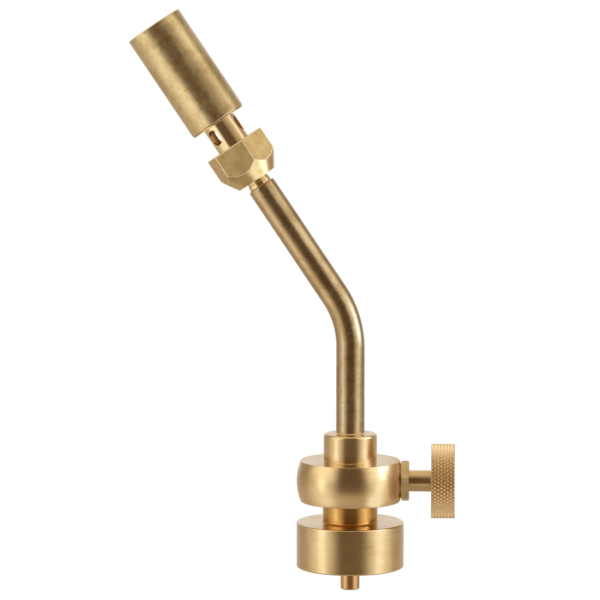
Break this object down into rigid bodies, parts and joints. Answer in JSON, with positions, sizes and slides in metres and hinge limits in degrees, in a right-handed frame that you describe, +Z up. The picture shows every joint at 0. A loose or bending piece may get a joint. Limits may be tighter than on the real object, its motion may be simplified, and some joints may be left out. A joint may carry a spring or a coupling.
{
  "type": "gas torch burner",
  "caption": "Brass bunsen-type pencil-flame burner head with a screw-on cylinder coupling, needle valve with knurled knob, bent gas tube and flame tube.",
  "frame": {"origin": "centre of the coupling's lower rim, on the axis of the cylinder thread and the probe", "axes": "+Z up the coupling's axis, +X along the valve stem towards the knob, burner leaning over towards -X"},
  "size_m": [0.0957, 0.0318, 0.1715],
  "materials": {
    "brass_turned": "turned, fine circumferential lines",
    "brass_tube": "drawn tube, faintly mottled",
    "brass_hex": "milled hexagon bar, satin",
    "brass_polished": "polished",
    "brass_knurled": "bright diamond knurl",
    "probe_bronze": "turned, coppery",
    "braze": "bright solidified braze",
    "sintered_bronze": "sintered, rough",
    "steel": "fine turned",
    "rubber": "matte",
    "ptfe": "matte white PTFE"
  },
  "bodies": {
    "burner": {"cylinder_coupling": "brass_turned", "inlet_gasket": "rubber", "valve_probe": "probe_bronze", "inlet_filter": "sintered_bronze", "valve_body": "brass_turned", "gland_washer": "steel", "gland_packing": "ptfe", "gland_follower": "brass_turned", "gland_nut": "brass_hex", "gas_tube": "brass_tube", "tube_braze": "braze", "tube_nipple": "brass_turned", "nipple_braze": "braze", "jet_filter": "sintered_bronze", "gas_jet": "brass_turned", "burner_nut": "brass_hex", "mixing_tube": "brass_polished", "rear_ring": "brass_turned", "flame_holder": "brass_turned", "flame_tube": "brass_tube"},
    "needle": {"valve_needle": "steel"},
    "knob": {"valve_stem": "brass_turned", "knob": "brass_knurled", "knob_screw": "steel"}
  },
  "joints": [
    {"name": "needle_slide", "type": "slide", "parent": "burner", "child": "needle", "axis": [1, 0, 0], "range_m": [0, 0.00181]},
    {"name": "knob_turn", "type": "hinge", "parent": "needle", "child": "knob", "pos_m": [0.0274, 0, 0.02575], "axis": [1, 0, 0], "range_deg": [0, 720]}
  ],
  "couplings": [
    {"joint": "knob_turn", "follows": "needle_slide", "rad_per_m": 6927.4}
  ]
}
